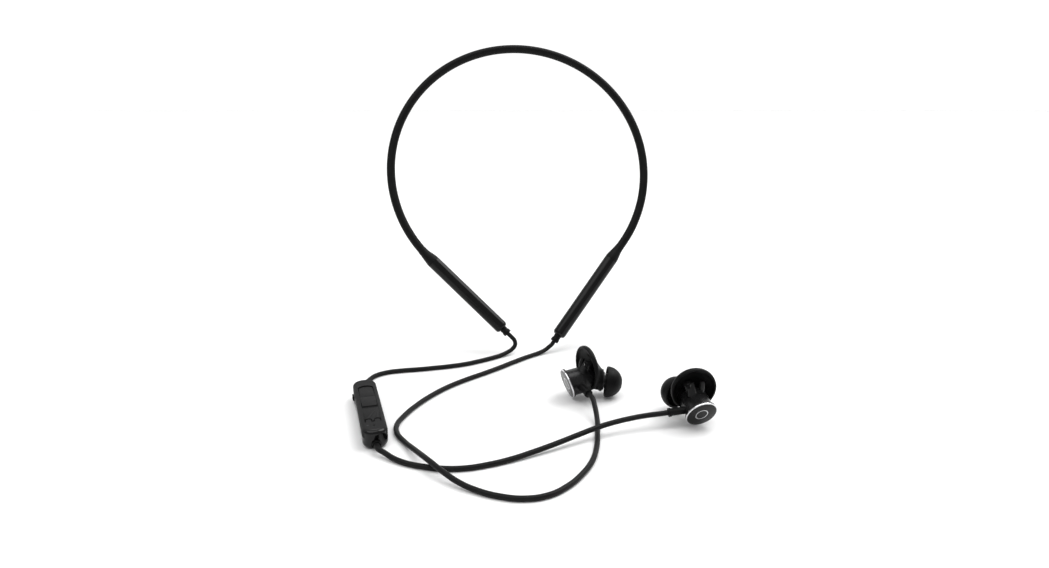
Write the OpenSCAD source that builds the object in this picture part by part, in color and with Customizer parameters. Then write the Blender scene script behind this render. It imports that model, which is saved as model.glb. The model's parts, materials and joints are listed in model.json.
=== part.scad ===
// Wireless neckband earphones. A soft tube bent into most of a circle stands on
// two slim sticks and leans back. Thin cords run over the floor to an in-line
// remote and two earbuds with silicone tips and wings.

/* [Neckband] */
// Radius of the band's centreline
band_r = 68.4; // [55:0.1:80]
// Diameter of the soft tube
tube_d = 4.4; // [3:0.1:6]
// Length of each soft boot between tube and stick
boot_len = 9.3; // [6:0.1:14]
// Length of each stick
stick_len = 50; // [30:1:70]
// Diameter of each stick
stick_d = 6.8; // [5:0.1:10]
// Length of the strain relief collar at a stick's end
collar_len = 3.7; // [2:0.1:8]
// Backward lean of the band, degrees
lean = 24; // [0:1:40]
// Turn of the band about the vertical, degrees
turn = 6; // [-20:1:20]

/* [Remote] */
// Length of the remote
rem_l = 53.8; // [35:0.1:70]
// Width of the remote
rem_w = 10.1; // [7:0.1:16]
// Height of the remote
rem_h = 8; // [5:0.1:14]
// Height at which the glossy base meets the matte cover
rem_split = 4.6; // [3:0.1:7]
// Direction the remote points along the floor, degrees
rem_dir = 106.5; // [0:0.5:180]

/* [Earbuds] */
// Radius of the bright rim of the back disc
disc_r = 6.75; // [5:0.05:9]
// Radius of the metal barrel
barrel_r = 5.9; // [4:0.05:8]
// Slant of the back disc against the barrel, degrees
slant = 13; // [0:1:20]
// Angle between barrel and nozzle, degrees
bend = 30; // [0:1:50]
// Radius of the nozzle
nozzle_r = 2.6; // [2:0.05:3.5]
// Radius of the silicone ear tip
tip_r = 6.9; // [4.5:0.1:8]

/* [Cords] */
// Diameter of the cords
cord_d = 2.2; // [1.5:0.1:3]

/* [Hidden] */
$fn = 48;
tube_r = tube_d / 2;
stick_r = stick_d / 2;
cord_r = cord_d / 2;
flex_len = 3;
stick_at = boot_len - flex_len;
run_len = stick_at + stick_len + collar_len;

// Shift that centres the object, and the centre of the band's circle
home = [1.29, -6.48, 0];
band_at = home + [-5.8, 63.7, 91];
// Ends of the band's arc, and how far the two boots flex, degrees
right_end = -39.5;
left_end = 219;
left_flex = 5;
right_flex = 2;
// Where the straight runs start, 3 mm past the arc's ends
right_p = band_r * [cos(right_end), sin(right_end)]
    + flex_len * [cos(right_end - 90), sin(right_end - 90)];
left_p = band_r * [cos(left_end), sin(left_end)]
    + flex_len * [cos(left_end + 90), sin(left_end + 90)];
left_run_dir = left_end + 90 + left_flex;
right_run_dir = right_end - 90 + right_flex;

// Places of the remote and of the two buds' back discs
rem_at = home + [-68.2, -54.1, 0];
gland_z = 2.6;
gland_r = 1.5;
gland_end = rem_l / 2 + 1.2;
left_at = home + [15.9, -32.4, 7.4];
left_az = 23.2;
left_el = 5.6;
left_roll = 23.8;
right_at = home + [69.5, -62.7, 6.8];
right_az = 99;
right_el = 14.2;
right_roll = 25.8;
boot_turn = 20;
boot_z = 4.3;
dome_z = 9.5;
boot_end = 12.8;

function unit(v) = v / norm(v);

// A point of the band's plane, and a direction in it, in the object's frame
function spin_z(v, a) = [v[0] * cos(a) - v[1] * sin(a), v[0] * sin(a) + v[1] * cos(a), v[2]];
function band_dir(p) = spin_z([p[0], p[1] * sin(lean), p[1] * cos(lean)], turn);
function band_pt(p) = band_at + band_dir(p);

// Outer ends of the two collars
left_dir = [cos(left_run_dir), sin(left_run_dir)];
right_dir = [cos(right_run_dir), sin(right_run_dir)];
left_out = band_pt(left_p + run_len * left_dir);
right_out = band_pt(right_p + run_len * right_dir);

// A direction of a bud's own frame in the object's frame
function bud_dir(az, el, r, v) =
    let(a = [cos(el) * cos(az), cos(el) * sin(az), sin(el)])
    let(h = [-sin(az), cos(az), 0])
    let(u = [-sin(el) * cos(az), -sin(el) * sin(az), cos(el)])
    v[0] * (cos(r) * h + sin(r) * u) + v[1] * (cos(r) * u - sin(r) * h) + v[2] * a;
function boot_vec(s) = [s * cos(boot_turn), sin(boot_turn), 0];
left_boot_dir = bud_dir(left_az, left_el, left_roll, boot_vec(-1));
left_boot_out = left_at + bud_dir(left_az, left_el, left_roll, [0, 0, boot_z])
    + boot_end * left_boot_dir;
right_boot_dir = bud_dir(right_az, right_el, -right_roll, boot_vec(1));
right_boot_out = right_at + bud_dir(right_az, right_el, -right_roll, [0, 0, boot_z])
    + boot_end * right_boot_dir;

// Cord ends at the remote
rem_dir_v = [cos(rem_dir), sin(rem_dir), 0];
far_out = rem_at + [0, 0, gland_z] + gland_end * rem_dir_v;
near_out = rem_at + [0, 0, gland_z] - gland_end * rem_dir_v;

// Route of the cord from the left stick to the remote
route_a = [
    left_out,
    left_out + 2.2 * band_dir(left_dir),
    home + [-8.2, 25.4, 6.8],
    home + [-7.9, 24.5, 4.8],
    home + [-9.2, 23.2, 3.1],
    home + [-11.8, 21.3, 1.9],
    home + [-15, 18.9, 1.2],
    home + [-18.6, 16, 1.1],
    home + [-22.4, 13.2, 1.1],
    home + [-26.6, 10.4, 1.1],
    home + [-32, 7.2, 1.1],
    home + [-39, 4.4, 1.1],
    home + [-47, 2, 1.1],
    home + [-55, 0, 1.1],
    home + [-63, -1.6, 1.1],
    home + [-69.5, -3.8, 1.1],
    home + [-74.5, -8, 1.1],
    home + [-76.8, -14.2, 1.1],
    home + [-77.4, -18.4, 1.4],
    home + [-77.3, -22, 2.1],
    far_out + 2.4 * rem_dir_v,
    far_out
];

// Route of the cord from the remote to the right bud
route_b = [
    near_out,
    near_out - 2.2 * rem_dir_v,
    home + [-56.2, -86, 2],
    home + [-52.6, -88.9, 1.4],
    home + [-47.8, -91.8, 1.1],
    home + [-42, -94.2, 1.1],
    home + [-34, -96, 1.1],
    home + [-25, -95.8, 1.1],
    home + [-16.5, -93.2, 1.1],
    home + [-8, -89.4, 1.3],
    home + [0, -85, 1.8],
    home + [9, -79.8, 2.6],
    home + [18, -74.4, 3.6],
    home + [26, -69.8, 4.5],
    home + [33, -66.4, 5.1],
    home + [40, -63.8, 5.6],
    home + [47, -61.8, 6],
    right_boot_out + 2.6 * right_boot_dir,
    right_boot_out
];

// Route of the looped cord from the right stick to the left bud
route_c = [
    right_out,
    right_out + 1.8 * band_dir(right_dir),
    home + [9.7, 25.7, 3.1],
    home + [7.5, 24.2, 1.9],
    home + [4.8, 22.2, 1.3],
    home + [1.4, 19.4, 1.1],
    home + [-2.6, 15.8, 1.1],
    home + [-8, 10.2, 1.1],
    home + [-15, 2.6, 1.1],
    home + [-23, -5.4, 1.1],
    home + [-31, -13, 1.1],
    home + [-38.5, -21.4, 1.1],
    home + [-45, -31, 1.1],
    home + [-50.4, -41.6, 1.1],
    home + [-54.2, -52, 1.1],
    home + [-55.8, -60, 1.1],
    home + [-54.6, -67.6, 1.1],
    home + [-50.6, -75.2, 1.3],
    home + [-45, -84.4, 2.5],
    home + [-38.6, -94.6, 3.8],
    home + [-32.6, -101.6, 3.1],
    home + [-26.4, -107.2, 2],
    home + [-20, -111.2, 1.3],
    home + [-12, -114.8, 1.1],
    home + [-3, -116.4, 1.1],
    home + [5, -114.4, 1.1],
    home + [12, -108.6, 1.1],
    home + [18, -100, 1.1],
    home + [22.6, -90, 1.1],
    home + [25.2, -79, 1.1],
    home + [26.6, -67, 1.1],
    home + [27.2, -60.8, 1.5],
    home + [27.3, -56, 2.6],
    home + [27, -51.4, 4.5],
    left_boot_out + 2.4 * left_boot_dir,
    left_boot_out
];

// ---------------------------------------------------------------- poses

// The band's plane, with its circle's centre at the origin and up along +Y
module band_pose() {
    translate(band_at)
        rotate([0, 0, turn])
            rotate([90 - lean, 0, 0])
                children();
}

// The left run of boot, stick and collar along +Z, from the tube's end
module left_run() {
    band_pose()
        translate([left_p[0], left_p[1], 0])
            rotate([0, 0, left_run_dir])
                rotate([0, 90, 0])
                    children();
}

// The right run
module right_run() {
    band_pose()
        translate([right_p[0], right_p[1], 0])
            rotate([0, 0, right_run_dir])
                rotate([0, 90, 0])
                    children();
}

// The remote's own frame: +X to its far end, floor at z = 0
module remote_pose() {
    translate(rem_at)
        rotate([0, 0, rem_dir])
            children();
}

// A bud's own frame: +Z from the back disc into the ear, +Y to the wing
module bud_pose(at, az, el, r) {
    translate(at)
        rotate([0, 0, az])
            rotate([0, -el, 0])
                rotate([r, 0, 0])
                    rotate([90, 0, 90])
                        children();
}

module left_bud() {
    bud_pose(left_at, left_az, left_el, left_roll)
        children();
}

module right_bud() {
    bud_pose(right_at, right_az, right_el, -right_roll)
        children();
}

// ---------------------------------------------------------------- shapes

// A round bar with rounded ends
module soft_rod(r, l, c) {
    cylinder(r = r - c, h = l);
    translate([0, 0, c])
        cylinder(r = r, h = l - 2 * c);
    for (z = [c, l - c])
        translate([0, 0, z])
            rotate_extrude()
                translate([r - c, 0])
                    circle(r = c);
}

// A block with round plan corners and a rounded top edge
module pill(l, w, h, rp, re) {
    for (x = [-1, 1], y = [-1, 1])
        translate([x * (l / 2 - rp), y * (w / 2 - rp), 0]) {
            cylinder(r = rp, h = h - re);
            cylinder(r = rp - re, h = h);
            translate([0, 0, h - re])
                rotate_extrude()
                    translate([rp - re, 0])
                        circle(r = re);
        }
    for (y = [-1, 1])
        translate([-(l / 2 - rp), y * (w / 2 - re), h - re])
            rotate([0, 90, 0])
                cylinder(r = re, h = l - 2 * rp);
    for (x = [-1, 1])
        translate([x * (l / 2 - re), -(w / 2 - rp), h - re])
            rotate([-90, 0, 0])
                cylinder(r = re, h = w - 2 * rp);
    translate([-(l / 2 - rp), -w / 2, 0])
        cube([l - 2 * rp, w, h - re]);
    translate([-l / 2, -(w / 2 - rp), 0])
        cube([l, w - 2 * rp, h - re]);
    translate([-(l / 2 - rp), -(w / 2 - re), 0])
        cube([l - 2 * rp, w - 2 * re, h]);
    translate([-(l / 2 - re), -(w / 2 - rp), 0])
        cube([l - 2 * re, w - 2 * rp, h]);
}

// Neighbours along a route, held at its ends
function at_clamped(p, i) = p[min(max(i, 0), len(p) - 1)];
function heading(p, i) = unit(at_clamped(p, i + 1) - at_clamped(p, i - 1));
// Sideways directions carried along the route without twist
function carried(p, i, n) =
    i >= len(p) ? [] :
    let(t = heading(p, i), m = unit(n - (n * t) * t))
    concat([m], carried(p, i + 1, m));

// A thin cord along a route, eight-sided, square at both ends
module cord(route, first_side) {
    side = carried(route, 0, first_side);
    rings = [for (i = [0 : len(route) - 1])
        let(t = heading(route, i), a = side[i], b = cross(t, a))
        for (k = [0 : 7])
            route[i] + cord_r * (cos(45 * k) * a + sin(45 * k) * b)];
    n = len(route);
    walls = [for (i = [0 : n - 2], k = [0 : 7])
        [8 * i + k, 8 * i + 8 + k, 8 * i + 8 + (k + 1) % 8, 8 * i + (k + 1) % 8]];
    caps = [[for (k = [0 : 7]) k], [for (k = [7 : -1 : 0]) 8 * (n - 1) + k]];
    polyhedron(points = rings, faces = concat(walls, caps), convexity = 8);
}

// ---------------------------------------------------------------- neckband

// A round strand that follows the band's curve at one offset and depth
module along_band(off, depth, r) {
    rotate([0, 0, right_end])
        rotate_extrude(angle = left_end - right_end)
            translate([band_r + off, depth])
                circle(r = r);
}

// Soft tube with a bore for its wires
module neckband_sleeve() {
    color([0.05, 0.05, 0.055])
        band_pose()
            difference() {
                along_band(0, 0, tube_r);
                along_band(0, 0, 1.4);
            }
}

// Spring wire that holds the band's curve
module memory_wire() {
    color([0.7, 0.7, 0.72])
        band_pose()
            along_band(-0.55, 0, 0.6);
}

// Two insulated wires that join the sticks
module lead_wires() {
    color([0.6, 0.12, 0.1])
        band_pose()
            for (d = [-0.45, 0.45])
                along_band(0.75, d, 0.33);
}

// Flared soft sleeve from tube to stick. It flexes by k degrees near the tube
module soft_boot(k) {
    difference() {
        union() {
            rotate([k, 0, 0])
                translate([0, 0, -flex_len])
                    cylinder(r1 = tube_r + 0.3, r2 = tube_r + 0.55, h = flex_len);
            sphere(r = tube_r + 0.55);
            cylinder(r1 = tube_r + 0.55, r2 = stick_r, h = stick_at - 0.4);
            translate([0, 0, stick_at - 0.4])
                cylinder(r = stick_r, h = 0.4);
            translate([0, 0, stick_at])
                cylinder(r = 2.6, h = 2.4);
        }
        translate([0, 0, -flex_len - 1])
            cylinder(r = 1.4, h = boot_len + 5);
    }
}

module left_boot() {
    color([0.06, 0.06, 0.065])
        left_run()
            soft_boot(left_flex);
}

module right_boot() {
    color([0.06, 0.06, 0.065])
        right_run()
            soft_boot(right_flex);
}

// A round bar with a square start and a rounded far end
module blunt_rod(r, l, c) {
    cylinder(r = r, h = l - c);
    cylinder(r = r - c, h = l);
    translate([0, 0, l - c])
        rotate_extrude()
            translate([r - c, 0])
                circle(r = c);
}

// One half of a stick's shell. side is -1 for the front and 1 for the back
module stick_half(side) {
    difference() {
        translate([0, 0, stick_at])
            blunt_rod(stick_r, stick_len, 1.6);
        translate([0, 0, stick_at + 1.2])
            cylinder(r = 2.6, h = stick_len - 3.2);
        translate([0, 0, stick_at - 1])
            cylinder(r = 2.6, h = 3);
        translate([0, 0, stick_at + stick_len - 4])
            cylinder(r = 1.5, h = 6);
        translate([side > 0 ? -10 : 0, -10, stick_at - 1])
            cube([10, 20, stick_len + 2]);
    }
}

module left_stick_front() {
    color([0.02, 0.02, 0.022])
        left_run()
            stick_half(-1);
}

module left_stick_back() {
    color([0.02, 0.02, 0.022])
        left_run()
            stick_half(1);
}

module right_stick_front() {
    color([0.02, 0.02, 0.022])
        right_run()
            stick_half(-1);
}

module right_stick_back() {
    color([0.02, 0.02, 0.022])
        right_run()
            stick_half(1);
}

// Slim round cells
module left_battery() {
    color([0.2, 0.3, 0.55])
        left_run()
            translate([0, 0, stick_at + 4])
                soft_rod(2.45, 36, 0.5);
}

module right_battery() {
    color([0.2, 0.3, 0.55])
        right_run()
            translate([0, 0, stick_at + 4])
                soft_rod(2.45, 18, 0.5);
}

// Radio circuit board behind the cell in the right stick
module right_board() {
    color([0.05, 0.3, 0.15])
        right_run() {
            translate([-0.4, -2.3, stick_at + 24])
                cube([0.8, 4.6, 20]);
            translate([-1.4, -1.5, stick_at + 27])
                cube([1, 3, 3]);
            translate([-1.2, -1.1, stick_at + 34])
                cube([0.8, 2.2, 4.5]);
        }
}

// Strain relief collar with a flange inside the stick and a rolled end
module collar() {
    translate([0, 0, stick_at + stick_len]) {
        translate([0, 0, -3.4])
            cylinder(r = 2.5, h = 1.4);
        translate([0, 0, -2])
            cylinder(r = 1.5, h = 2);
        cylinder(r1 = 1.8, r2 = 1.7, h = collar_len - 1);
        translate([0, 0, collar_len - 1])
            cylinder(r = 2.05, h = 1);
    }
}

module left_collar() {
    color([0.06, 0.06, 0.065])
        left_run()
            collar();
}

module right_collar() {
    color([0.06, 0.06, 0.065])
        right_run()
            collar();
}

// ---------------------------------------------------------------- remote

// Plan shapes of the three buttons. g widens them for the openings
module up_plan(g) {
    translate([8 - g, -3 - g, 0])
        cube([7.4 + g, 6 + 2 * g, 4]);
    intersection() {
        translate([15.3, -3 - g, 0])
            cube([6, 6 + 2 * g, 4]);
        translate([15.4, 0, 0])
            cylinder(r = 3.4 + g, h = 4);
    }
}

module play_plan(g) {
    translate([-3.4 - g, -3 - g, 0])
        cube([10.3 + 2 * g, 6 + 2 * g, 4]);
}

module down_plan(g) {
    difference() {
        translate([-17.6 - g, -3 - g, 0])
            cube([13.2 + 2 * g, 6 + 2 * g, 4]);
        for (y = [-1.8, 1.8])
            translate([-16.6, y, -1]) {
                cylinder(r = 1.4 - g, h = 6);
                translate([-4, g - 1.4, 0])
                    cube([4, 2.8 - 2 * g, 6]);
            }
    }
}

// A button slab with a wider flange below the cover
module slab(bottom, top) {
    translate([0, 0, bottom])
        intersection() {
            children(0);
            translate([-30, -10, 0])
                cube([60, 20, top - bottom]);
        }
}

module volume_up_button() {
    color([0.09, 0.09, 0.095])
        remote_pose() {
            slab(6.6, rem_h - 0.4)
                up_plan(0);
            slab(6.2, 6.6)
                translate([0.3, 0, 0])
                    up_plan(0.45);
        }
}

module play_button() {
    color([0.09, 0.09, 0.095])
        remote_pose() {
            slab(6.6, rem_h + 0.5)
                play_plan(0);
            slab(6.2, 6.6)
                play_plan(0.45);
        }
}

module volume_down_button() {
    color([0.09, 0.09, 0.095])
        remote_pose() {
            slab(6.6, rem_h + 0.2)
                down_plan(0);
            slab(6.2, 6.6)
                translate([-0.3, 0, 0])
                    down_plan(0.45);
        }
}

// Whole outline of the remote, rounded above and below
module remote_outline() {
    intersection() {
        pill(rem_l, rem_w, rem_h, 4.6, 1.6);
        translate([0, 0, rem_h])
            rotate([180, 0, 0])
                pill(rem_l, rem_w, rem_h, 4.6, 2.2);
    }
}

// Hollow inside the remote
module remote_hollow() {
    translate([0, 0, 1])
        pill(rem_l - 2.4, rem_w - 2, rem_h - 2, 3.5, 0.7);
}

// Glossy base with side socket opening, cord holes and a recess round the near cord
module remote_base() {
    color([0.015, 0.015, 0.018])
        remote_pose()
            difference() {
                remote_outline();
                remote_hollow();
                translate([-40, -10, rem_split])
                    cube([80, 20, 10]);
                translate([0, 0, gland_z])
                    rotate([0, 90, 0])
                        cylinder(r = gland_r, h = 40);
                translate([-40, 0, gland_z])
                    rotate([0, 90, 0])
                        cylinder(r = gland_r, h = 40);
                translate([-rem_l / 2 - 1, 0, gland_z])
                    rotate([0, 90, 0])
                        cylinder(r = 2, h = 1.8);
                translate([10.3, rem_w / 2 - 0.85, 0.7])
                    cube([11.9, 3, 3.5]);
                translate([12.7, 2, 1])
                    cube([7.8, 5, 2.9]);
            }
}

// Matte soft cover with three button openings and a hole for the microphone
module remote_cover() {
    color([0.08, 0.08, 0.085])
        remote_pose()
            difference() {
                remote_outline();
                remote_hollow();
                translate([-40, -10, -1])
                    cube([80, 20, rem_split + 1]);
                translate([-40, -10, -1])
                    cube([40 - rem_l / 2 + 1.9, 20, 12]);
                translate([0, 0, 6])
                    up_plan(0.3);
                translate([0, 0, 6])
                    play_plan(0.3);
                translate([0, 0, 6])
                    down_plan(0.3);
                translate([-21.3, 0, 5])
                    cylinder(r = 0.4, h = 5);
                translate([-20.9, 2.5, 5])
                    cylinder(r = 0.5, h = 5);
            }
}

// Glossy end above the near cord
module remote_end_cap() {
    color([0.015, 0.015, 0.018])
        remote_pose()
            difference() {
                remote_outline();
                remote_hollow();
                translate([-40, -10, -1])
                    cube([80, 20, rem_split + 1]);
                translate([-rem_l / 2 + 1.9, -10, -1])
                    cube([80, 20, 12]);
            }
}

module remote_board() {
    color([0.05, 0.3, 0.15])
        remote_pose()
            translate([-22.9, -3.5, 3.85])
                cube([44.2, 7, 0.75]);
}

// Three identical push switches under the buttons
module tact_switches() {
    color([0.75, 0.75, 0.76])
        remote_pose()
            for (x = [13, 1.8, -10.5])
                translate([x, 0, 4.6]) {
                    translate([-1.6, -1.6, 0])
                        cube([3.2, 3.2, 0.8]);
                    cylinder(r = 0.9, h = 1.3);
                }
}

// Small charging socket with its tongue, open to the side
module usb_socket() {
    color([0.75, 0.75, 0.76])
        remote_pose()
            translate([16.6, 0, 2.45]) {
                difference() {
                    translate([-3.7, -1.6, -1.25])
                        cube([7.4, 5.4, 2.5]);
                    translate([-3.4, -1.2, -0.95])
                        cube([6.8, 6, 1.9]);
                }
                translate([-2.2, -1.2, -0.3])
                    cube([4.4, 3.8, 0.6]);
            }
}

// Rubber flap over the socket with a pull tab and a rolled hinge
module port_cover() {
    color([0.06, 0.06, 0.065])
        remote_pose()
            translate([10.8, rem_w / 2 - 0.4, 0.8]) {
                cylinder(r = 0.4, h = 3.3);
                translate([0, -0.4, 0])
                    cube([11.2, 0.8, 3.3]);
                translate([7.9, 0, 0.7])
                    cube([3.2, 1, 1.9]);
            }
}

module microphone() {
    color([0.7, 0.7, 0.7])
        remote_pose()
            translate([-21.3, 0, 4.6])
                cylinder(r = 1.5, h = 1.6);
}

module lamp_pipe() {
    color([0.9, 0.9, 0.92])
        remote_pose()
            translate([-20.9, 2.5, 4.7])
                cylinder(r = 0.5, h = rem_h - 4.7);
}

// Soft gland where a cord enters the remote, with a flange inside the shell
module gland() {
    difference() {
        translate([rem_l / 2 - 2.4, 0, gland_z])
            rotate([0, 90, 0])
                cylinder(r = 2.0, h = 0.8);
        translate([rem_l / 2 - 4, -3, -2])
            cube([4, 6, 3.02]);
    }
    translate([rem_l / 2 - 2.4, 0, gland_z])
        rotate([0, 90, 0])
            cylinder(r = gland_r, h = gland_end - rem_l / 2 + 2.4);
}

module far_gland() {
    color([0.06, 0.06, 0.065])
        remote_pose()
            gland();
}

module near_gland() {
    color([0.06, 0.06, 0.065])
        remote_pose()
            rotate([0, 0, 180])
                gland();
}

// ---------------------------------------------------------------- earbuds

// The nozzle's own frame: +Z along it, from the centre of the housing's dome
module nozzle_frame(s) {
    translate([0, 0, dome_z])
        rotate([0, s * bend, 0])
            children();
}

// The back disc's own frame: it leans so that the barrel is longest under the wing
module disc_frame() {
    rotate([-slant, 0, 0])
        children();
}

module bud_disc() {
    disc_frame()
        cylinder(r = 6.4, h = 0.9);
}

// Bright metal ring with a chamfered outer edge
module bud_rim() {
    disc_frame()
        difference() {
            union() {
                cylinder(r1 = disc_r - 0.15, r2 = disc_r, h = 0.2);
                translate([0, 0, 0.2])
                    cylinder(r = disc_r, h = 1.1);
            }
            translate([0, 0, -1])
                cylinder(r = 6.4, h = 1.9);
            translate([0, 0, 0.89])
                cylinder(r = 5.1, h = 1);
        }
}

// Metal barrel with a slanted back, a turned groove and a side hole for the cord boot
module bud_barrel(s) {
    difference() {
        translate([0, 0, -1])
            cylinder(r = barrel_r, h = dome_z - 1.2);
        translate([0, 0, -3])
            cylinder(r = 5.1, h = 14);
        disc_frame()
            translate([-10, -10, -8.7])
                cube([20, 20, 10]);
        translate([0, 0, 6.4])
            difference() {
                cylinder(r = barrel_r + 1, h = 0.35);
                cylinder(r = barrel_r - 0.25, h = 0.35);
            }
        translate([0, 0, boot_z])
            rotate([0, 90, s > 0 ? boot_turn : 180 - boot_turn])
                cylinder(r = 1.6, h = 10);
    }
}

module bud_magnet() {
    disc_frame()
        translate([0, 0, 0.95])
            cylinder(r = 4, h = 1.6);
}

module bud_driver() {
    translate([0, 0, dome_z - 3.1])
        cylinder(r = 4.7, h = 2.2);
    translate([0, 0, dome_z - 4.2])
        cylinder(r = 3, h = 1.1);
}

// Front housing: dome, neck, angled nozzle and a short post towards the wing
module bud_housing(s) {
    difference() {
        union() {
            translate([0, 0, dome_z - 2.2])
                cylinder(r = barrel_r, h = 2.2);
            translate([0, 0, dome_z])
                sphere(r = barrel_r);
            nozzle_frame(s)
                cylinder(r = 4.2, h = 8.2);
            nozzle_frame(s)
                cylinder(r = nozzle_r, h = 13.7);
            translate([0, 0, dome_z - 0.1])
                rotate([-90, 0, 0])
                    cylinder(r = 1.7, h = 9.9);
        }
        translate([0, 0, dome_z - 3])
            cylinder(r = 4.9, h = 3);
        translate([0, 0, dome_z])
            sphere(r = 4.9);
        translate([0, 0, -1])
            cylinder(r = 8, h = dome_z - 1.2);
        nozzle_frame(s)
            cylinder(r = 1.8, h = 20);
    }
}

module bud_mesh(s) {
    nozzle_frame(s)
        translate([0, 0, 13])
            cylinder(r = 1.8, h = 0.3);
}

// Silicone mushroom tip: a domed skirt on a sleeve over the nozzle
module bud_tip(s) {
    nozzle_frame(s)
        difference() {
            union() {
                difference() {
                    translate([0, 0, 9.7])
                        sphere(r = tip_r);
                    translate([0, 0, 9.5])
                        sphere(r = tip_r - 0.7);
                    translate([0, 0, -2])
                        cylinder(r = 10, h = 11.3);
                }
                intersection() {
                    translate([0, 0, 8.6])
                        cylinder(r = 3.7, h = 9);
                    translate([0, 0, 9.7])
                        sphere(r = tip_r);
                }
            }
            translate([0, 0, 5])
                cylinder(r = nozzle_r + 0.03, h = 9);
            cylinder(r = 2, h = 20);
        }
}

// Silicone wing: an oval bowl round the housing, open towards the back disc
module bud_wing(s) {
    difference() {
        hull() {
            translate([-1.7 * s, 5, dome_z + 0.4])
                scale([9.65, 10.7, 1])
                    cylinder(r = 1, h = 1.2);
            translate([-1.7 * s, 5, dome_z - 0.1])
                scale([9.1, 10.1, 1])
                    cylinder(r = 1, h = 2.2);
            nozzle_frame(s)
                translate([0, 0.5, 6])
                    cylinder(r = 5.1, h = 1.6);
        }
        hull() {
            translate([-1.7 * s, 5, dome_z - 2])
                scale([7.9, 8.9, 1])
                    cylinder(r = 1, h = 3.2);
            nozzle_frame(s)
                translate([0, 0.3, 4.2])
                    cylinder(r = 4.5, h = 1);
        }
        translate([0, 0, 2])
            cylinder(r = barrel_r + 0.05, h = dome_z - 2);
        translate([0, 0, dome_z])
            sphere(r = barrel_r + 0.05);
        nozzle_frame(s)
            cylinder(r = 4.2, h = 20);
    }
}

// Soft boot that guides the cord out of the barrel's side
module bud_boot(s) {
    translate([0, 0, boot_z])
        rotate([0, 90, s > 0 ? boot_turn : 180 - boot_turn]) {
            translate([0, 0, 4.95])
                cylinder(r = 1.6, h = boot_end - 5.95);
            translate([0, 0, boot_end - 1])
                cylinder(r = 1.85, h = 1);
        }
}

module left_disc() {
    color([0.03, 0.03, 0.03])
        left_bud()
            bud_disc();
}

module left_rim() {
    color([0.75, 0.75, 0.77])
        left_bud()
            bud_rim();
}

module left_barrel() {
    color([0.18, 0.18, 0.19])
        left_bud()
            bud_barrel(-1);
}

module left_magnet() {
    color([0.7, 0.7, 0.7])
        left_bud()
            bud_magnet();
}

module left_driver() {
    color([0.6, 0.55, 0.4])
        left_bud()
            bud_driver();
}

module left_housing() {
    color([0.3, 0.3, 0.31])
        left_bud()
            bud_housing(-1);
}

module left_mesh() {
    color([0.5, 0.5, 0.5])
        left_bud()
            bud_mesh(-1);
}

module left_tip() {
    color([0.07, 0.07, 0.07])
        left_bud()
            bud_tip(-1);
}

module left_wing() {
    color([0.07, 0.07, 0.07])
        left_bud()
            bud_wing(-1);
}

module left_cord_boot() {
    color([0.06, 0.06, 0.065])
        left_bud()
            bud_boot(-1);
}

module right_disc() {
    color([0.03, 0.03, 0.03])
        right_bud()
            bud_disc();
}

module right_rim() {
    color([0.75, 0.75, 0.77])
        right_bud()
            bud_rim();
}

module right_barrel() {
    color([0.18, 0.18, 0.19])
        right_bud()
            bud_barrel(1);
}

module right_magnet() {
    color([0.7, 0.7, 0.7])
        right_bud()
            bud_magnet();
}

module right_driver() {
    color([0.6, 0.55, 0.4])
        right_bud()
            bud_driver();
}

module right_housing() {
    color([0.3, 0.3, 0.31])
        right_bud()
            bud_housing(1);
}

module right_mesh() {
    color([0.5, 0.5, 0.5])
        right_bud()
            bud_mesh(1);
}

module right_tip() {
    color([0.07, 0.07, 0.07])
        right_bud()
            bud_tip(1);
}

module right_wing() {
    color([0.07, 0.07, 0.07])
        right_bud()
            bud_wing(1);
}

module right_cord_boot() {
    color([0.06, 0.06, 0.065])
        right_bud()
            bud_boot(1);
}

// ---------------------------------------------------------------- cords

module cord_remote_feed() {
    color([0.05, 0.05, 0.055])
        cord(route_a, band_dir([0.7, 0.7]));
}

module cord_right_bud() {
    color([0.05, 0.05, 0.055])
        cord(route_b, [0, 0, 1]);
}

module cord_left_bud() {
    color([0.05, 0.05, 0.055])
        cord(route_c, band_dir([-0.7, 0.7]));
}

// ---------------------------------------------------------------- assembly

neckband_sleeve();
memory_wire();
lead_wires();
left_boot();
right_boot();
left_stick_front();
left_stick_back();
right_stick_front();
right_stick_back();
left_battery();
right_battery();
right_board();
left_collar();
right_collar();
remote_base();
remote_cover();
remote_end_cap();
volume_up_button();
play_button();
volume_down_button();
remote_board();
tact_switches();
usb_socket();
port_cover();
microphone();
lamp_pipe();
far_gland();
near_gland();
left_disc();
left_rim();
left_barrel();
left_magnet();
left_driver();
left_housing();
left_mesh();
left_tip();
left_wing();
left_cord_boot();
right_disc();
right_rim();
right_barrel();
right_magnet();
right_driver();
right_housing();
right_mesh();
right_tip();
right_wing();
right_cord_boot();
cord_remote_feed();
cord_right_bud();
cord_left_bud();
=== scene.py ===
import json
import math

import bmesh
import bpy
from mathutils import Matrix, Vector


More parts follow.
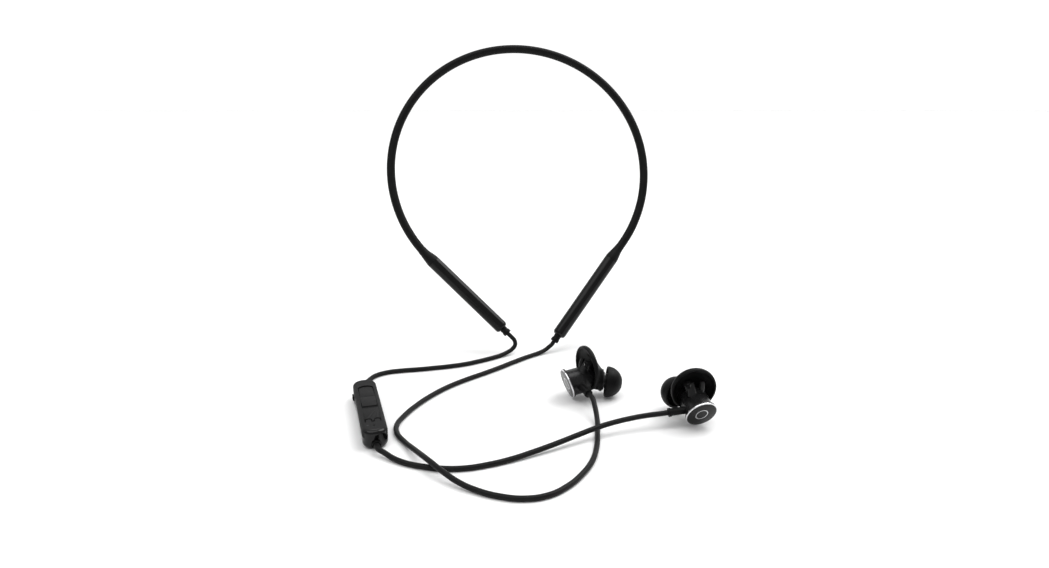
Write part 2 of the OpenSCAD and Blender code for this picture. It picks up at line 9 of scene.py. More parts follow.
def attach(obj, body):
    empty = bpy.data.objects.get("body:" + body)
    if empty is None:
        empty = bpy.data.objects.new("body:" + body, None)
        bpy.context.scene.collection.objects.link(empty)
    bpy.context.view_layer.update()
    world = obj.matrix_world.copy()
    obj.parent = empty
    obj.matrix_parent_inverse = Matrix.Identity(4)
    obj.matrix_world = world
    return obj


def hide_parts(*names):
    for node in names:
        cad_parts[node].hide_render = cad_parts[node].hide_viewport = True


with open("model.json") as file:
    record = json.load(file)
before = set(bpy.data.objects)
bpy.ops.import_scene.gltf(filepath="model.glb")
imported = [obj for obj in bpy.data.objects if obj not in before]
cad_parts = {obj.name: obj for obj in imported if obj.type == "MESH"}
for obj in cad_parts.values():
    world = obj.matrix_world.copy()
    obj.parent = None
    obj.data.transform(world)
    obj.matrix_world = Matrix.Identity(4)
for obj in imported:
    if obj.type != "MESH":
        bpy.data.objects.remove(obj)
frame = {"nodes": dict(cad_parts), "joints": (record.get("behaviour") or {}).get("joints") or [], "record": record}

# Sizes, places and routes are in millimetres and angles in degrees, unless a comment says otherwise.
# Matrices place things in metres, which is Blender's unit here.
MM = 0.001
UP = Vector((0, 0, 1))

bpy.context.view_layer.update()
record = frame["record"]
nodes = frame["nodes"]
mounts = {m["name"]: m for m in record["mounts"]}
joints = {j["name"]: j for j in frame["joints"]}
scene = bpy.context.scene

# The neckband, and lengths along its runs. A run starts FLEX_LEN beyond the band's end.
BAND_R = 68.4
TUBE_R = 2.2
STICK_R = 3.4
BOOT_LEN = 9.3
FLEX_LEN = 3
STICK_AT = BOOT_LEN - FLEX_LEN
STICK_LEN = 50
COLLAR_LEN = 3.7
# Each end's angle on the band, the way that the run goes on from there, and the bend of its boot
ENDS = {"right": (-39.5, -1, 2), "left": (219, 1, 5)}

# The remote's cord ends, from the middle of its underside
GLAND_END = 28.1
GLAND_Z = 2.6

# The buds: the nozzle's bend and the disc's slant, and places along the barrel
BEND = 30
SLANT = 13
DOME_Z = 9.5
BOOT_Z = 4.3
BOOT_TURN = 20
BOOT_END = 12.8

CORD_R = 1.1

# The point that the cords' routes are measured from
REMOTE_FROM_HOME = Vector((-68.2, -54.1, 0))
HOME = Vector(mounts["remote_underside"]["pos_m"]) / MM - REMOTE_FROM_HOME


# ---------------------------------------------------------------- camera

CAMERA_FROM_HOME = Vector((-3, -346, 142.5))
CAMERA_PITCH = 15.8

lens = bpy.data.cameras.new("camera")
lens.sensor_width = 36
lens.lens = 25.98
lens.clip_start = 0.005
camera = bpy.data.objects.new("camera", lens)
camera.location = (HOME + CAMERA_FROM_HOME) * MM
camera.rotation_euler = (math.radians(90 - CAMERA_PITCH), 0, 0)
scene.collection.objects.link(camera)
scene.camera = camera


# ---------------------------------------------------------------- frames of the parts

def axes(x, y, z, at):
    """A matrix from three axes and an origin, in metres."""
    m = Matrix((x, y, z)).transposed().to_4x4()
    m.translation = at
    return m


# The band's plane: +Z towards the front, +Y up along the band
band_z = Vector(mounts["neck_opening"]["axis"]).normalized()
band_x = UP.cross(band_z).normalized()
BAND = axes(band_x, band_z.cross(band_x), band_z, Vector(mounts["neck_opening"]["pos_m"]))


def run_frame(side):
    """A boot, stick and collar's own frame: +Z away from the tube, -X towards the front."""
    end, way, flex = ENDS[side]
    end = math.radians(end)
    tangent = end + way * math.pi / 2
    on = tangent + math.radians(flex)
    at = BAND_R * Vector((math.cos(end), math.sin(end), 0))
    at += FLEX_LEN * Vector((math.cos(tangent), math.sin(tangent), 0))
    along = BAND.to_3x3() @ Vector((math.cos(on), math.sin(on), 0))
    return axes(-band_z, along.cross(-band_z), along, BAND @ (at * MM))


RUN = {side: run_frame(side) for side in ENDS}

# The remote: +X to its far end
remote_y = Vector(mounts["charging_port"]["axis"]).normalized()
REMOTE = axes(remote_y.cross(UP), remote_y, UP, Vector(mounts["remote_underside"]["pos_m"]))


def bud_frame(side, s):
    """A bud's own frame: +Z along the barrel into the ear, +Y to the wing. s is -1 for left and 1 for right.

    The disc's axis leans towards the wing by the slant, the nozzle's to the side by the bend."""
    disc = -Vector(mounts[side + "_disc_face"]["axis"]).normalized()
    nozzle = Vector(joints[side + "_tip_pull"]["axis"]).normalized()
    slant, bend = math.radians(SLANT), math.radians(BEND)
    own_disc = Vector((0, math.sin(slant), math.cos(slant)))
    own_nozzle = Vector((s * math.sin(bend), 0, math.cos(bend)))
    there = Matrix((disc, nozzle, disc.cross(nozzle))).transposed()
    here = Matrix((own_disc, own_nozzle, own_disc.cross(own_nozzle))).transposed()
    m = (there @ here.inverted()).to_4x4()
    m.translation = Vector(mounts[side + "_disc_face"]["pos_m"])
    return m


BUDS = {"left": (bud_frame("left", -1), -1), "right": (bud_frame("right", 1), 1)}


# ---------------------------------------------------------------- mesh helpers

def spread(first, last, steps):
    """Angles in radians, evenly from first to last, with both included."""
    return [math.radians(first + (last - first) * k / steps) for k in range(steps + 1)]


def rounded(corners, steps=5):
    """A profile of (r, z) points from (r, z, fillet) corners."""
    out = []
    for i, (r, z, f) in enumerate(corners):
        p = Vector((r, z))
        if f <= 0 or i in (0, len(corners) - 1):
            out.append((r, z))
            continue
        a = Vector(corners[i - 1][:2]) - p
        b = Vector(corners[i + 1][:2]) - p
        cut = min(f, a.length * 0.49, b.length * 0.49)
        a = p + a.normalized() * cut
        b = p + b.normalized() * cut
        for k in range(steps + 1):
            t = k / steps
            q = (1 - t) ** 2 * a + 2 * t * (1 - t) * p + t * t * b
            out.append((q.x, q.y))
    return out


def revolve(profile, seg=96, closed=False, turn=360, start=0):
    """A surface of revolution about +Z. closed joins the profile's ends."""
    whole = turn >= 360
    cols = seg if whole else seg + 1
    verts, faces = [], []
    rows = []
    for r, z in profile:
        if r < 1e-6:
            rows.append([len(verts)] * cols)
            verts.append((0, 0, z))
            continue
        row = []
        for k in range(cols):
            a = math.radians(start + turn * k / seg)
            row.append(len(verts))
            verts.append((r * math.cos(a), r * math.sin(a), z))
        rows.append(row)
    n = len(rows)
    for i in range(n if closed else n - 1):
        a, b = rows[i], rows[(i + 1) % n]
        for k in range(seg):
            q = (a[k], a[(k + 1) % cols], b[(k + 1) % cols], b[k])
            f = [v for j, v in enumerate(q) if v != q[j - 1]]
            if len(f) > 2:
                faces.append(f)
    if not whole:
        faces.append([row[0] for row in rows])
        faces.append([row[-1] for row in reversed(rows)])
    return verts, faces


def loft(rings, joined=False):
    """Quads between rings of equally many points, with a cap on each end, or joined end to start."""
    n = len(rings[0])
    verts = [tuple(p) for ring in rings for p in ring]
    faces = []
    m = len(rings)
    for i in range(m if joined else m - 1):
        a, b = i * n, ((i + 1) % m) * n
        for k in range(n):
            faces.append((a + k, a + (k + 1) % n, b + (k + 1) % n, b + k))
    if not joined:
        faces.append([n - 1 - k for k in range(n)])
        faces.append([(m - 1) * n + k for k in range(n)])
    return verts, faces


def sweep(path, radii, seg=32, bore=None):
    """A round bar along a path, or a tube if bore is given."""
    path = [Vector(p) for p in path]
    side = None
    outer, inner = [], []
    for i, p in enumerate(path):
        t = (path[min(i + 1, len(path) - 1)] - path[max(i - 1, 0)]).normalized()
        if side is None:
            side = t.orthogonal().normalized()
        side = (side - t * side.dot(t)).normalized()
        up = t.cross(side)
        turns = [2 * math.pi * k / seg for k in range(seg)]
        spokes = [side * math.cos(a) + up * math.sin(a) for a in turns]
        outer.append([p + radii[i] * d for d in spokes])
        if bore:
            inner.append([p + bore * d for d in spokes])
    if not bore:
        return loft(outer)
    return loft(outer + inner[::-1], joined=True)


def piece(name, shape, mat, at, body="earphones", stands_for=(), angle=38, second=None):
    """A named mesh from (verts, faces) in millimetres, placed by a matrix in metres. Each point keeps its
    place in the piece's own frame as "own". second picks the faces of the second material."""
    verts, faces = shape
    local = [Vector(v) * MM for v in verts]
    me = bpy.data.meshes.new(name)
    me.from_pydata([at @ v for v in local], [], [list(f) for f in faces])
    own = me.attributes.new("own", "FLOAT_VECTOR", "POINT")
    own.data.foreach_set("vector", [c for v in local for c in v])
    grid = bmesh.new()
    grid.from_mesh(me)
    bmesh.ops.recalc_face_normals(grid, faces=grid.faces)
    grid.to_mesh(me)
    grid.free()
    me.shade_smooth()
    me.set_sharp_from_angle(angle=math.radians(angle))
    o = bpy.data.objects.new(name, me)
    scene.collection.objects.link(o)
    for m in mat if isinstance(mat, (list, tuple)) else [mat]:
        me.materials.append(m)
    if second:
        for p in me.polygons:
            c = sum((local[i] for i in p.vertices), Vector()) / len(p.vertices) / MM
            p.material_index = 1 if second(c) else 0
    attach(o, body)
    if stands_for:
        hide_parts(*([stands_for] if isinstance(stands_for, str) else stands_for))


# ---------------------------------------------------------------- materials

def add(tree, kind, inputs, **settings):
    """A shader node with its settings made and its inputs set, or linked where the value is a socket."""
    node = tree.nodes.new("ShaderNode" + kind)
    for name, value in settings.items():
        setattr(node, name, value)
    for name, value in inputs.items():
        if isinstance(value, bpy.types.NodeSocket):
            tree.links.new(value, node.inputs[name])
        else:
            node.inputs[name].default_value = value
    return node


def new_material(name):
    """An empty procedural material and its node tree."""
    m = bpy.data.materials.new(name)
    m.use_nodes = True
    return m, m.node_tree


def mixed(tree, factor, low, high):
    """A colour between low and high."""
    return add(tree, "Mix", {"Factor": factor, "A": low, "B": high}, data_type="RGBA").outputs["Result"]


def dusty(tree, where, colour, amount):
    """Fine pale specks over a colour."""
    speck = add(tree, "TexVoronoi", {"Vector": where, "Scale": 1600})
    few = add(tree, "MapRange", {"Value": speck.outputs["Distance"], "From Max": 0.09,
                                 "To Min": amount, "To Max": 0.0})
    return mixed(tree, few.outputs[0], colour, (0.3, 0.3, 0.31, 1))


def turning_marks(tree, scale, depth):
    """Marks by the distance from a part's own axis, or from its own origin where depth is 1."""
    own = add(tree, "Attribute", {}, attribute_name="own")
    flat = add(tree, "VectorMath", {0: own.outputs["Vector"], 1: (1, 1, depth)}, operation="MULTIPLY")
    size = add(tree, "VectorMath", {0: flat.outputs[0]}, operation="LENGTH")
    rings = add(tree, "TexNoise", {"W": size.outputs["Value"], "Scale": scale, "Detail": 3},
                noise_dimensions="1D")
    return rings.outputs["Fac"]


def material(name, dark, light, rough, grain, bump, metal=0.0, specular=0.5, sheen=0.0, wave=0.0, dust=0.0,
             spun=0.0, spun_z=0.0):
    """A procedural finish.

    dark and light are the ends of its colour, rough the ends of its roughness, and grain its texture's
    scale per metre. bump and wave are the heights of its grain and of its slow unevenness, in metres.
    dust is how strong its specks are. spun is the scale of its turning marks and spun_z their depth."""
    m, tree = new_material(name)
    where = tree.nodes.new("ShaderNodeTexCoord").outputs["Object"]
    fine = add(tree, "TexNoise", {"Vector": where, "Scale": grain, "Detail": 4, "Roughness": 0.6})
    fine = fine.outputs["Fac"]
    broad = add(tree, "TexNoise", {"Vector": where, "Scale": grain / 14, "Detail": 3}).outputs["Fac"]
    both = add(tree, "Math", {0: fine, 1: broad}, operation="MULTIPLY")
    factor = add(tree, "MapRange", {"Value": both.outputs[0], "From Min": 0.12, "From Max": 0.4})
    colour = mixed(tree, factor.outputs[0], (*dark, 1), (*light, 1))
    if dust:
        colour = dusty(tree, where, colour, dust)
    roughness = add(tree, "MapRange", {"Value": broad, "From Min": 0.3, "From Max": 0.7,
                                       "To Min": rough[0], "To Max": rough[1]})
    height = turning_marks(tree, spun, spun_z) if spun else fine
    surface = add(tree, "Bump", {"Height": height, "Strength": 0.6, "Distance": bump})
    if wave:
        slow = add(tree, "TexNoise", {"Vector": where, "Scale": 120, "Detail": 1.5})
        first = add(tree, "Bump", {"Height": slow.outputs["Fac"], "Strength": 0.7, "Distance": wave})
        tree.links.new(first.outputs["Normal"], surface.inputs["Normal"])
    shader = tree.nodes["Principled BSDF"]
    for socket, value in (("Metallic", metal), ("Specular IOR Level", specular), ("Sheen Weight", sheen),
                          ("Sheen Roughness", 0.4)):
        shader.inputs[socket].default_value = value
    tree.links.new(colour, shader.inputs["Base Color"])
    tree.links.new(roughness.outputs[0], shader.inputs["Roughness"])
    tree.links.new(surface.outputs["Normal"], shader.inputs["Normal"])
    return m


def grey(v):
    """A grey with a very little blue in it."""
    return (v, v, 1.02 * v)


FINISHES = {
    "soft_black": dict(dark=grey(0.0035), light=grey(0.007), rough=(0.42, 0.54), grain=5200, bump=0.000012,
                       specular=0.1, dust=0.04),
    "cord_black": dict(dark=grey(0.004), light=grey(0.009), rough=(0.38, 0.5), grain=4200, bump=0.000014,
                       specular=0.13, dust=0.05),
    "stick_gloss": dict(dark=grey(0.002), light=grey(0.004), rough=(0.14, 0.2), grain=3000, bump=0.000002,
                        specular=0.2, wave=0.00003),
    "remote_gloss": dict(dark=grey(0.002), light=grey(0.003), rough=(0.07, 0.12), grain=2600, bump=0.000001,
                         specular=0.26, wave=0.00003),
    "remote_matte": dict(dark=grey(0.011), light=grey(0.016), rough=(0.6, 0.72), grain=6500, bump=0.00002,
                         specular=0.1, dust=0.04),
    "silicone": dict(dark=grey(0.0025), light=grey(0.005), rough=(0.4, 0.52), grain=3600, bump=0.00001,
                     specular=0.1, sheen=0.01, dust=0.03),
    "bud_metal": dict(dark=grey(0.012), light=grey(0.02), rough=(0.22, 0.3), grain=2600, bump=0.000003,
                      metal=0.4, specular=0.25),
    "disc_black": dict(dark=grey(0.002), light=grey(0.004), rough=(0.2, 0.28), grain=3000, bump=0.000006,
                       specular=0.2, spun=5000),
    "mark": dict(dark=grey(0.42), light=grey(0.55), rough=(0.25, 0.35), grain=4000, bump=0.000003, metal=1.0),
    "rim_bright": dict(dark=grey(0.7), light=grey(0.85), rough=(0.14, 0.22), grain=3000, bump=0.000003,
                       metal=1.0, spun=9000, spun_z=1.0),
    "spring_steel": dict(dark=grey(0.45), light=grey(0.6), rough=(0.25, 0.35), grain=4000, bump=0.000004,
                         metal=1.0),
    "tin_steel": dict(dark=grey(0.5), light=grey(0.66), rough=(0.25, 0.4), grain=3800, bump=0.000004,
                      metal=1.0),
    "driver_metal": dict(dark=(0.42, 0.3, 0.12), light=(0.56, 0.42, 0.2), rough=(0.25, 0.4), grain=3800,
                         bump=0.000004, metal=1.0),
    "wire_red": dict(dark=(0.35, 0.02, 0.015), light=(0.5, 0.04, 0.03), rough=(0.4, 0.5), grain=4000,
                     bump=0.000006),
    "cell_wrap": dict(dark=(0.03, 0.07, 0.24), light=(0.05, 0.1, 0.32), rough=(0.3, 0.4), grain=2500,
                      bump=0.000006),
    "board_green": dict(dark=(0.01, 0.09, 0.04), light=(0.02, 0.14, 0.06), rough=(0.4, 0.55), grain=3500,
                        bump=0.00001),
    "clear_lens": dict(dark=grey(0.01), light=grey(0.016), rough=(0.5, 0.6), grain=3000, bump=0.000003,
                       specular=0.2),
}
M = {name: material(name, **finish) for name, finish in FINISHES.items()}

# The CAD's own meshes, of which the ones that nothing stands for are seen
for part in record["subparts"]:
    mesh = nodes[part["node"]].data
    mesh.materials.clear()
    mesh.materials.append(M[part["material_slot"]])
    mesh.shade_smooth()
    mesh.set_sharp_from_angle(angle=math.radians(35))
for name in ("remote_base", "remote_cover", "remote_end_cap"):
    # Small round on every edge, which shows the seams between the shells
    soft = nodes[name].modifiers.new("edge", "BEVEL")
    soft.width = 0.14 * MM
    soft.segments = 2
    soft.limit_method = "ANGLE"
    soft.angle_limit = math.radians(50)
    soft.harden_normals = False


# ---------------------------------------------------------------- cords

def at(*p):
    """A point of a route, from the routes' own origin."""
    return HOME + Vector(p)


def cord(name, node, route):
    """A cord through the route's points."""
    curve = bpy.data.curves.new(name, "CURVE")
    curve.dimensions = "3D"
    curve.bevel_depth = CORD_R * MM
    curve.bevel_resolution = 7
    curve.resolution_u = 14
    curve.use_fill_caps = True
    line = curve.splines.new("BEZIER")
    line.bezier_points.add(len(route) - 1)
    for b, p in zip(line.bezier_points, route):
        b.co = Vector(p) * MM
        b.handle_left_type = b.handle_right_type = "AUTO"
    o = bpy.data.objects.new(name, curve)
    scene.collection.objects.link(o)
    curve.materials.append(M["cord_black"])
    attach(o, "earphones")
    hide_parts(node)


def run_end(side):
    """The outer end of a stick's collar, and the way the cord leaves it."""
    m = RUN[side]
    return m @ Vector((0, 0, (STICK_AT + STICK_LEN + COLLAR_LEN) * MM)) / MM, m.to_3x3() @ UP


def boot_end(side):
    """The outer end of a bud's cord boot, and the way the cord leaves it."""
    m, s = BUDS[side]
    a = math.radians(BOOT_TURN)
    d = Vector((s * math.cos(a), math.sin(a), 0))
    return m @ ((BOOT_Z * UP + BOOT_END * d) * MM) / MM, m.to_3x3() @ d


left_out, left_dir = run_end("left")
right_out, right_dir = run_end("right")
left_boot_out, left_boot_dir = boot_end("left")
right_boot_out, right_boot_dir = boot_end("right")
remote_x = REMOTE.to_3x3() @ Vector((1, 0, 0))
far_out = REMOTE @ Vector((GLAND_END * MM, 0, GLAND_Z * MM)) / MM
near_out = REMOTE @ Vector((-GLAND_END * MM, 0, GLAND_Z * MM)) / MM

cord("feed_cord", "cord_remote_feed", [
    left_out, left_out + 2.2 * left_dir, at(-8.2, 25.4, 6.8), at(-7.9, 24.5, 4.8), at(-9.2, 23.2, 3.1),
    at(-11.8, 21.3, 1.9), at(-15, 18.9, 1.2), at(-18.6, 16, 1.1), at(-22.4, 13.2, 1.1), at(-26.6, 10.4, 1.1),
    at(-32, 7.2, 1.1), at(-39, 4.4, 1.1), at(-47, 2, 1.1), at(-55, 0, 1.1), at(-63, -1.6, 1.1),
    at(-69.5, -3.8, 1.1), at(-74.5, -8, 1.1), at(-76.8, -14.2, 1.1), at(-77.4, -18.4, 1.4),
    at(-77.3, -22, 2.1), far_out + 2.4 * remote_x, far_out,
])
cord("right_bud_cord", "cord_right_bud", [
    near_out, near_out - 2.2 * remote_x, at(-56.2, -86, 2), at(-52.6, -88.9, 1.4), at(-47.8, -91.8, 1.1),
    at(-42, -94.2, 1.1), at(-34, -96, 1.1), at(-25, -95.8, 1.1), at(-16.5, -93.2, 1.1), at(-8, -89.4, 1.3),
    at(0, -85, 1.8), at(9, -79.8, 2.6), at(18, -74.4, 3.6), at(26, -69.8, 4.5), at(33, -66.4, 5.1),
    at(40, -63.8, 5.6), at(47, -61.8, 6), right_boot_out + 2.6 * right_boot_dir, right_boot_out,
])
cord("left_bud_cord", "cord_left_bud", [
    right_out, right_out + 1.8 * right_dir, at(9.7, 25.7, 3.1), at(7.5, 24.2, 1.9), at(4.8, 22.2, 1.3),
    at(1.4, 19.4, 1.1), at(-2.6, 15.8, 1.1), at(-8, 10.2, 1.1), at(-15, 2.6, 1.1), at(-23, -5.4, 1.1),
    at(-31, -13, 1.1), at(-38.5, -21.4, 1.1), at(-45, -31, 1.1), at(-50.4, -41.6, 1.1), at(-54.2, -52, 1.1),
    at(-55.8, -60, 1.1), at(-54.6, -67.6, 1.1), at(-50.6, -75.2, 1.3), at(-45, -84.4, 2.5),
    at(-38.6, -94.6, 3.8), at(-32.6, -101.6, 3.1), at(-26.4, -107.2, 2), at(-20, -111.2, 1.3),
    at(-12, -114.8, 1.1), at(-3, -116.4, 1.1), at(5, -114.4, 1.1), at(12, -108.6, 1.1), at(18, -100, 1.1),
    at(22.6, -90, 1.1), at(25.2, -79, 1.1), at(26.6, -67, 1.1), at(27.2, -60.8, 1.5), at(27.3, -56, 2.6),
    at(27, -51.4, 4.5), left_boot_out + 2.4 * left_boot_dir, left_boot_out,
])


# ---------------------------------------------------------------- neckband

def band_tube():
    """Soft tube with its bore."""
    arc = spread(ENDS["right"][0], ENDS["left"][0], 220)
    path = [(BAND_R * math.cos(a), BAND_R * math.sin(a), 0) for a in arc]
    piece("band_tube", sweep(path, [TUBE_R] * len(path), 36, bore=1.4), M["soft_black"], BAND,
          stands_for="neckband_sleeve")


def flared_boot(side):
    """Boot that follows the tube's last bend, flares to the stick, and plugs into it."""
    flex = math.radians(ENDS[side][2])
    plug_r, plug_end, steps = 2.6, STICK_AT + 2.3, 32
    path, radii = [], []
    for i in range(steps + 1):
        z = -FLEX_LEN + BOOT_LEN * i / steps
        ease = max(0.0, min(1.0, (1.5 - z) / 4.5))
        path.append((0, FLEX_LEN * math.sin(flex) * ease ** 2, z * (math.cos(flex) if z < 0 else 1)))
        t = max(0.0, (z + 2.2) / 8.5)
        radii.append(2.32 + 1.06 * t * t * (3 - 2 * t))
    radii[0] = TUBE_R
    radii[-1] = STICK_R - 0.1
    path += [(0, 0, STICK_AT), (0, 0, plug_end)]
    radii += [plug_r, plug_r]
    piece(side + "_flared_boot", sweep(path, radii, 48, bore=1.35), M["soft_black"], RUN[side],
          stands_for=side + "_boot", angle=50)


def end_collar(side):
    """Strain relief collar: neck, waist and rolled end ring."""
    z = STICK_AT + STICK_LEN
    profile = rounded([
        (0, z - 3.4, 0), (2.5, z - 3.4, 0.15), (2.5, z - 2, 0.15), (1.5, z - 2, 0), (1.5, z, 0),
        (1.9, z, 0.15), (1.82, z + 1.6, 0.3), (2.1, z + 2.2, 0.3), (2.1, z + COLLAR_LEN, 0.35),
        (0, z + COLLAR_LEN, 0)])
    piece(side + "_end_collar", revolve(profile, 48), M["soft_black"], RUN[side],
          stands_for=side + "_collar")


def stick_shells(side):
    """Two half shells: square at the boot, rounded at the lower end, meeting at the sides."""
    bore, hole, corner = 2.62, 1.55, 1.6
    top, end = STICK_AT + 0.02, STICK_AT + STICK_LEN
    profile = [(bore, top), (STICK_R - 0.06, top), (STICK_R, top + 0.06), (STICK_R, 20), (STICK_R, 40)]
    profile += [(STICK_R + corner * (math.cos(t) - 1), end + corner * (math.sin(t) - 1))
                for t in spread(0, 90, 6)]
    profile += [(hole, end), (hole, end - 1.9), (bore, end - 1.9)]
    for half, start in (("front", 90.7), ("back", -89.3)):
        piece(f"{side}_{half}_shell", revolve(profile, 48, closed=True, turn=178.6, start=start),
              M["stick_gloss"], RUN[side], stands_for=f"{side}_stick_{half}")


band_tube()
for side in ENDS:
    flared_boot(side)
    end_collar(side)
    stick_shells(side)


# ---------------------------------------------------------------- remote

def turned(x, y, radius, first, last, steps=14):
    """Points of an arc, in the plan of the remote."""
    return [(x + radius * math.cos(a), y + radius * math.sin(a)) for a in spread(first, last, steps)]


def button(name, node, body, outline, top):
    """A button with a plan outline, a softened top edge, and the height of its face given by top."""
    mid = Vector((sum(p[0] for p in outline), sum(p[1] for p in outline))) / len(outline)

    def ring(inset, height):
        out = []
        for p in outline:
            v = Vector(p) - mid
            q = mid + v * (1 - inset / max(v.length, 1))
            out.append((q.x, q.y, height(q.x)))
        return out

    rings = [ring(0, lambda x: 6.25), ring(0, lambda x: top(x) - 0.16), ring(0.06, lambda x: top(x) - 0.04),
             ring(0.2, top)]
    piece(name, loft(rings), M["remote_matte"], REMOTE, body=body, stands_for=node,
          angle=50)


button("volume_up_key", "volume_up_button", "volume_up",
       [(7.76, 3.24), (7.76, -3.24), (13.8, -3.1)] + turned(15.4, 0, 3.4, -62, 62) + [(13.8, 3.1)],
       lambda x: 7.98 - 0.4 * max(0, x - 10) / 8.8)
button("play_key", "play_button", "play",
       [(7.14, 3.24), (7.14, -3.24), (3, -3.2), (-3, -3)] + turned(-3, -2.6, 0.4, -90, -180, 4)
       + turned(-3, 2.6, 0.4, 180, 90, 4) + [(3, 3.2)],
       lambda x: 7.99 + 0.4 * max(0, 5 - x) / 8.4)
button("volume_down_key", "volume_down_button", "volume_down",
       [(-4.16, 3.25), (-4.16, -3.25), (-15.6, -3.22)] + turned(-16.6, -1.8, 1.4, -50, 90)
       + [(-17.6, -0.4), (-17.6, 0.4)] + turned(-16.6, 1.8, 1.4, -90, 50) + [(-15.6, 3.22)],
       lambda x: 7.97 + 0.3 * max(0, -6 - x) / 11)


# ---------------------------------------------------------------- earbuds

def nozzle_turn(s):
    """From a bud's own frame to its nozzle's, in the units of the shape."""
    return Matrix.Translation((0, 0, DOME_Z)) @ Matrix.Rotation(s * math.radians(BEND), 4, "Y")


def nozzle_frame(bud, s):
    """The nozzle's frame: +Z along it."""
    return bud @ Matrix.Translation((0, 0, DOME_Z * MM)) @ Matrix.Rotation(s * math.radians(BEND), 4, "Y")


def back_disc(side, frame_at):
    """Black back disc with a thin bright ring let into it."""
    mark_in, mark_out = 2.35, 2.75
    profile = rounded([(0, 0.9, 0), (6.38, 0.9, 0), (6.38, 0.06, 0.05), (mark_out, 0, 0), (mark_in, 0, 0),
                       (0, 0, 0)], 2)
    piece(side + "_back_disc", revolve(profile, 96), [M["disc_black"], M["mark"]], frame_at,
          stands_for=side + "_disc",
          second=lambda c: mark_in < Vector(c[:2]).length < mark_out and c.z < 0.1)


def bright_rim(side, frame_at):
    """Bright rim with a fine polished lip, and a dark band round its back."""
    profile = rounded([(6.4, 0.88, 0), (6.4, 0.02, 0), (6.56, -0.04, 0.05), (6.75, 0.14, 0.08),
                       (6.75, 0.5, 0), (6.68, 0.52, 0), (6.68, 1.3, 0.1), (5.12, 1.3, 0), (5.12, 0.92, 0)], 3)
    piece(side + "_bright_rim", revolve(profile, 128, closed=True), [M["rim_bright"], M["bud_metal"]],
          frame_at, stands_for=side + "_rim", second=lambda c: c.z > 0.5)


def wing_arm(side, bud, s):
    """Faceted arm from the barrel's front edge up to the inside of the wing."""
    chamfer, steps = 0.5, 2
    low, high = Vector((0.2 * s, 5.0, DOME_Z - 2.6)), Vector((-1.2 * s, 9.4, DOME_Z + 0.3))
    along = (high - low).normalized()
    x = UP.cross(along).normalized()
    y = along.cross(x)
    rings = []
    for k in range(steps + 1):
        p = low.lerp(high, k / steps)
        w, d = Vector((1.9, 1.3)).lerp(Vector((1.5, 1.1)), k / steps)
        u, v = w - chamfer, d - chamfer
        rings.append([p + i * x + j * y for i, j in (
            (u, -d), (w, -v), (w, v), (u, d), (-u, d), (-w, v), (-w, -v), (-u, -d))])
    piece(side + "_wing_arm", loft(rings), M["bud_metal"], bud)


def wing_rib(side, bud, s):
    """Smaller rounded rib beside the arm."""
    path = [(-4.2 * s, 3.4, DOME_Z - 0.7), (-4.9 * s, 4.6, DOME_Z - 0.3), (-5.6 * s, 5.8, DOME_Z + 0.2),
            (-6.2 * s, 6.8, DOME_Z + 0.8)]
    piece(side + "_wing_rib", sweep(path, [1.1, 1.15, 1.1, 0.9], 24), M["bud_metal"], bud)


def ear_tip(side, nozzle):
    """Ear tip: domed skirt with a rolled lip, on a sleeve over the nozzle."""
    profile = [(2.66, 8.65), (2.66, 13.95), (2.02, 14.0), (2.02, 16.1), (2.06, 16.25)]
    profile += [(6.9 * math.sin(a), 9.7 + 6.9 * math.cos(a)) for a in spread(17, 93, 18)]
    profile += [(6.84, 9.2), (6.66, 9.08), (6.45, 9.15)]
    profile += [(6.2 * math.sin(a), 9.5 + 6.2 * math.cos(a)) for a in spread(92, 40, 8)]
    profile += [(3.9, 13.4), (3.7, 12.8), (3.66, 9.0), (3.5, 8.65)]
    piece(side + "_ear_tip_skin", revolve(profile, 96, closed=True), M["silicone"], nozzle,
          body=side + "_ear_tip", stands_for=side + "_tip", angle=50)


def wing_shape(s):
    """The silicone wing as one lofted skin: lip, outside, sleeve end, inside."""
    turn = nozzle_turn(s)
    count = 96
    angles = [2 * math.pi * k / count for k in range(count)]

    def oval(a, b, z):
        return [Vector((-1.7 * s + a * math.cos(t), 5 + b * math.sin(t), DOME_Z + z)) for t in angles]

    def hoop(r, z, dy=0.0):
        return [turn @ Vector((r * math.cos(t), dy + r * math.sin(t), z)) for t in angles]

    def between(a, b, t):
        return [p.lerp(q, t) for p, q in zip(a, b)]

    # Lip, from its inner edge round to the outside
    rings = [oval(*size) for size in (
        (8.5, 9.55, 0.25), (8.75, 9.8, 0), (9.1, 10.15, -0.1), (9.4, 10.45, 0), (9.58, 10.63, 0.3),
        (9.64, 10.7, 0.8), (9.6, 10.65, 1.3), (9.4, 10.45, 1.75))]
    lip_end, sleeve = oval(9.15, 10.2, 2.05), hoop(5.05, 6.8, 0.47)
    for k in range(13):
        ring = between(lip_end, sleeve, k / 12)
        # The flank is a little hollow between the lip and the sleeve
        hollow = 1 - 0.05 * math.sin(math.pi * k / 12)
        centre = sum(ring, Vector()) / count
        rings.append([centre + (p - centre) * hollow for p in ring])
    rings += [hoop(5.05, 7.3, 0.42), hoop(4.85, 7.58, 0.3), hoop(4.3, 7.6), hoop(4.25, 5.6)]
    start, inner = hoop(4.5, 5.0, 0.3), oval(8.35, 9.4, 0.7)
    rings += [between(start, inner, (k / 10) ** 0.8) for k in range(1, 11)]
    return loft(rings, joined=True)


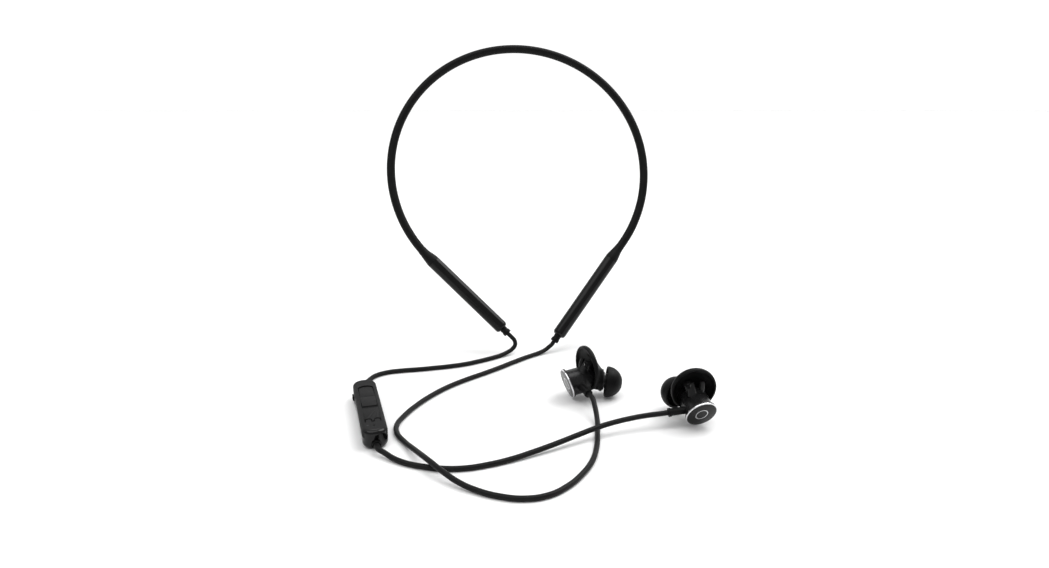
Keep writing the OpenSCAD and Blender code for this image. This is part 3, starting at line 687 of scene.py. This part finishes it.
for side, (bud, s) in BUDS.items():
    back = bud @ Matrix.Rotation(-math.radians(SLANT), 4, "X")
    back_disc(side, back)
    bright_rim(side, back)
    wing_arm(side, bud, s)
    wing_rib(side, bud, s)
    ear_tip(side, nozzle_frame(bud, s))
    piece(side + "_wing_skin", wing_shape(s), M["silicone"], bud, stands_for=side + "_wing",
          angle=60)


# ---------------------------------------------------------------- floor and light

def mottled(tree, scale, low, high):
    """A grey that wanders between two values."""
    noise = add(tree, "TexNoise", {"Scale": scale})
    return mixed(tree, noise.outputs["Fac"], (low, low, low, 1), (high, high, high, 1))


def floor_material():
    m, tree = new_material("floor")
    shader = tree.nodes["Principled BSDF"]
    shader.inputs["Roughness"].default_value = 0.6
    shader.inputs["Specular IOR Level"].default_value = 0.2
    tree.links.new(mottled(tree, 30, 0.86, 0.88), shader.inputs["Base Color"])
    return m


def paper_material():
    """White paper behind the floor, lit evenly."""
    m, tree = new_material("paper")
    glow = add(tree, "Emission", {"Color": mottled(tree, 2, 1, 0.99), "Strength": 1.1})
    tree.links.new(glow.outputs[0], tree.nodes["Material Output"].inputs["Surface"])
    return m


def sheet(name, corners, mat):
    """A flat part of the setting, with its corners in metres."""
    me = bpy.data.meshes.new(name)
    me.from_pydata(corners, [], [(0, 1, 2, 3)])
    me.materials.append(mat)
    o = bpy.data.objects.new(name, me)
    scene.collection.objects.link(o)


def sun(name, where, strength, spread_angle):
    """A sun that shines from where towards the origin."""
    data = bpy.data.lights.new(name, "SUN")
    data.energy = strength
    data.angle = math.radians(spread_angle)
    o = bpy.data.objects.new(name, data)
    o.location = where
    o.rotation_euler = (-Vector(where)).to_track_quat("-Z", "Y").to_euler()
    scene.collection.objects.link(o)


# The floor's half width, its far edge and the paper's height, in metres
HALF, FAR, HIGH = 4, 2.5, 3
sheet("floor", [(-HALF, -HALF, 0), (HALF, -HALF, 0), (HALF, FAR, 0), (-HALF, FAR, 0)], floor_material())
sheet("paper", [(-HALF, FAR, 0), (HALF, FAR, 0), (HALF, FAR, HIGH), (-HALF, FAR, HIGH)], paper_material())

world = bpy.data.worlds.new("studio")
scene.world = world
world.use_nodes = True
background = world.node_tree.nodes["Background"]
background.inputs["Color"].default_value = (1, 1, 1, 1)
background.inputs["Strength"].default_value = 0.5
sun("key", (0.6, 0.35, 1.0), 2.0, 45)
sun("fill", (-0.25, -0.2, 1.0), 1.3, 60)
scene.view_settings.view_transform = "Standard"
